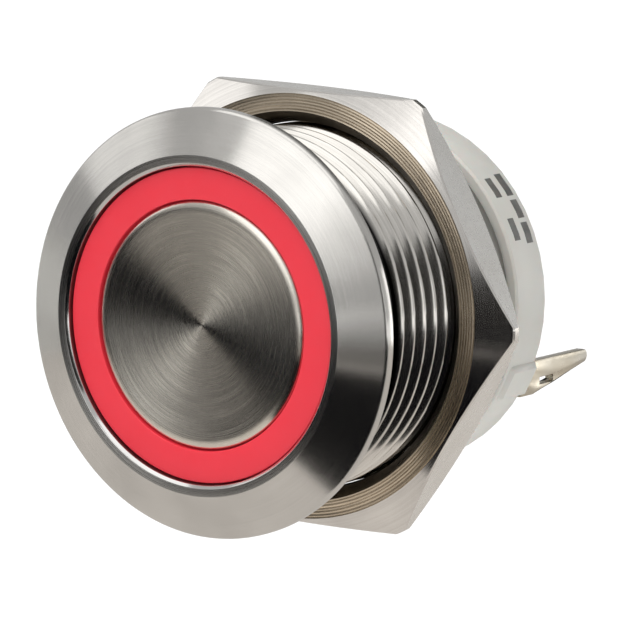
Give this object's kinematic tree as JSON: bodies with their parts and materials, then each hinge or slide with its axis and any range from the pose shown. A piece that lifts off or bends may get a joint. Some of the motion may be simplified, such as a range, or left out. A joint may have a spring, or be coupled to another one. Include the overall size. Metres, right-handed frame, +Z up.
{
  "type": "industrial push button",
  "caption": "Round steel panel push button with a sprung cap, a red light ring, a threaded barrel with a hexagon nut and solder blades at the rear.",
  "frame": {"origin": "on the button's axis, in the plane where the flange rests on the front of the panel", "axes": "+Y runs along the button's axis from its front to its rear, so the button faces -Y; +Z is up and +X is to the right as seen from the front"},
  "size_m": [0.0256, 0.0255, 0.0232],
  "materials": {
    "bezel_steel": "turned satin stainless steel with a polished inner ring",
    "cap_steel": "circular-brushed dark stainless steel",
    "nut_steel": "bright machined and plated, with turning marks",
    "seal_rubber": "matt black rubber",
    "stem_rubber": "matt red-brown rubber",
    "red_lens": "translucent red plastic with a satin face",
    "black_plastic": "moulded black plastic",
    "white_plastic": "moulded off-white plastic",
    "circuit_board": "green glass-fibre board",
    "led_chip": "clear yellow resin chip",
    "resistor_body": "black ceramic chip",
    "spring_steel": "bright spring wire",
    "clip_steel": "dark phosphated spring steel",
    "terminal_metal": "silver-plated brass",
    "contact_silver": "silver alloy",
    "lever_copper": "copper alloy sheet",
    "lead_red": "red insulation",
    "lead_black": "black insulation"
  },
  "bodies": {
    "housing": {"bezel_housing": "bezel_steel", "panel_seal": "seal_rubber", "light_ring": "red_lens", "guide_sleeve": "black_plastic", "return_spring": "spring_steel", "led_board": "circuit_board", "led_1": "led_chip", "led_2": "led_chip", "led_3": "led_chip", "led_4": "led_chip", "led_resistor": "resistor_body", "contact_block": "white_plastic", "rear_cap": "white_plastic", "no_terminal": "terminal_metal", "common_terminal": "terminal_metal", "nc_terminal": "terminal_metal", "led_positive_terminal": "terminal_metal", "led_negative_terminal": "terminal_metal", "led_positive_lead": "lead_red", "led_negative_lead": "lead_black", "nc_contact": "contact_silver", "no_contact": "contact_silver", "actuating_spring": "spring_steel", "lever_return_spring": "spring_steel"},
    "button": {"button_cap": "cap_steel", "stem": "black_plastic", "stem_seal": "stem_rubber", "stem_clip": "clip_steel"},
    "nut": {"hex_nut": "nut_steel"},
    "contact_lever": {"contact_lever": "lever_copper", "moving_contact": "contact_silver"}
  },
  "joints": [
    {"name": "cap_press", "type": "slide", "parent": "housing", "child": "button", "axis": [0, 1, 0], "range_m": [0, 0.002], "stiffness_N_per_m": 900, "springref_m": -0.002, "deforming": ["return_spring", "actuating_spring"]},
    {"name": "nut_travel", "type": "slide", "parent": "housing", "child": "nut", "axis": [0, 1, 0], "range_m": [-0.006, 0.0025]},
    {"name": "lever_turn", "type": "hinge", "parent": "housing", "child": "contact_lever", "pos_m": [-0.0047, 0.0125, 0], "axis": [0, 0, 1], "range_deg": [0, 6.5], "deforming": ["lever_return_spring"]}
  ],
  "couplings": [
    {"joint": "lever_turn", "follows": "cap_press", "rad_per_m": 55.8}
  ]
}
